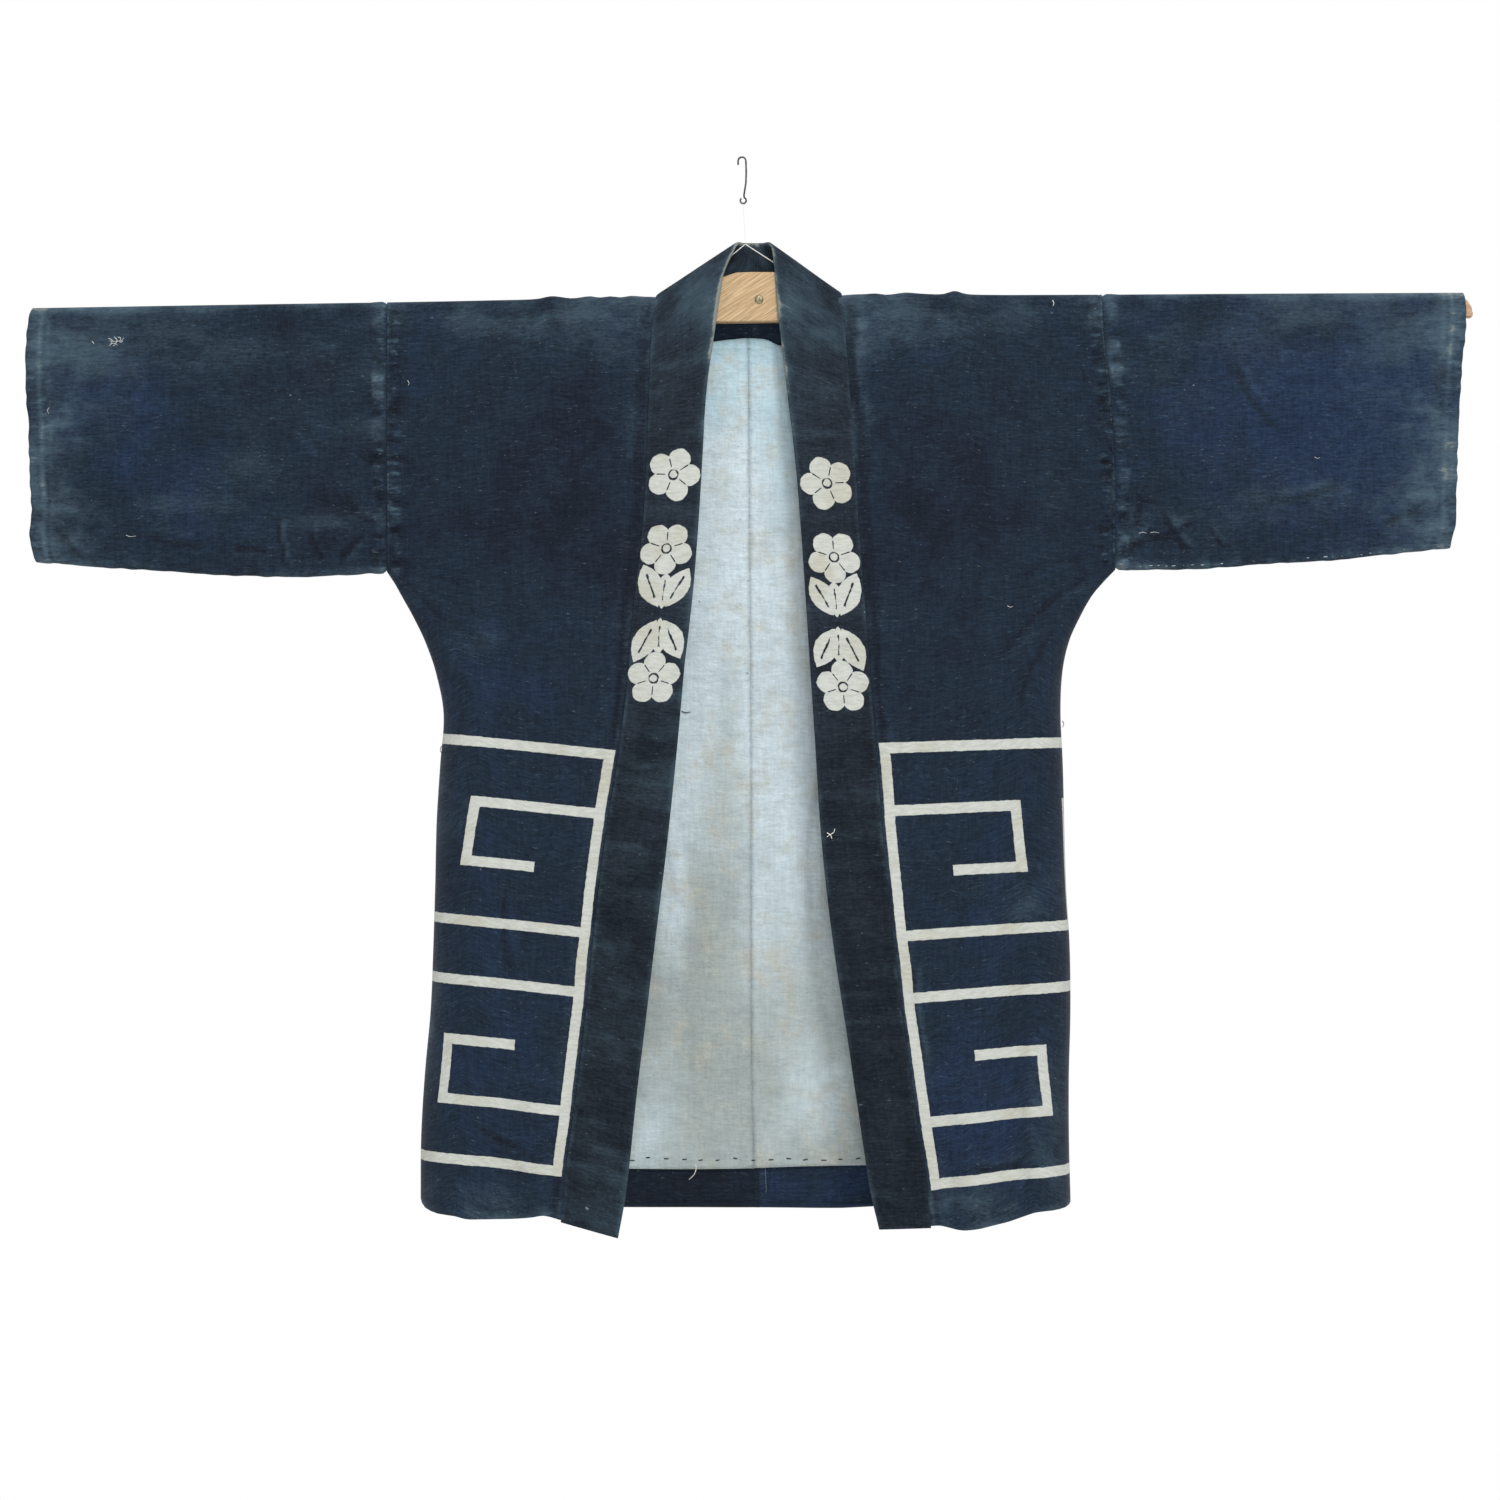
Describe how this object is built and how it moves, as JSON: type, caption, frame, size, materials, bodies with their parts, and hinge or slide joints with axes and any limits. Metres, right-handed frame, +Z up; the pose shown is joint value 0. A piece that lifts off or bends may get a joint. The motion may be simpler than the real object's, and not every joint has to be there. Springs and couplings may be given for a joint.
{
  "type": "happi coat on wooden bar hanger",
  "caption": "Open-fronted happi coat with straight sleeves and a long collar band, hung flat and open on a wooden bar hanger with a thread and a small wire hook.",
  "frame": {"origin": "inside top of the wire hook's bend, where a nail or pin holds the hanging coat", "axes": "+Z up, -Y the way the coat's front faces, +X to the wearer's left, which is the viewer's right"},
  "size_m": [1.2653, 0.0812, 0.9412],
  "materials": {
    "indigo_cloth": "worn, matt, coarse plain weave",
    "collar_cloth": "worn, matt, coarse plain weave",
    "lining_cloth": "faded, matt",
    "wood": "plain, unvarnished",
    "steel": "dull",
    "thread": "matt",
    "filament": "clear"
  },
  "bodies": {
    "root": {"panel_left": "indigo_cloth", "panel_right": "indigo_cloth", "sleeve_left": "indigo_cloth", "sleeve_right": "indigo_cloth", "collar": "collar_cloth", "back_lining_left": "lining_cloth", "back_lining_right": "lining_cloth", "hanger_bar": "wood", "hanger_board": "wood", "hanger_screw": "steel", "hanger_hook": "steel", "hang_thread": "thread", "hang_loop": "filament"}
  },
  "joints": []
}
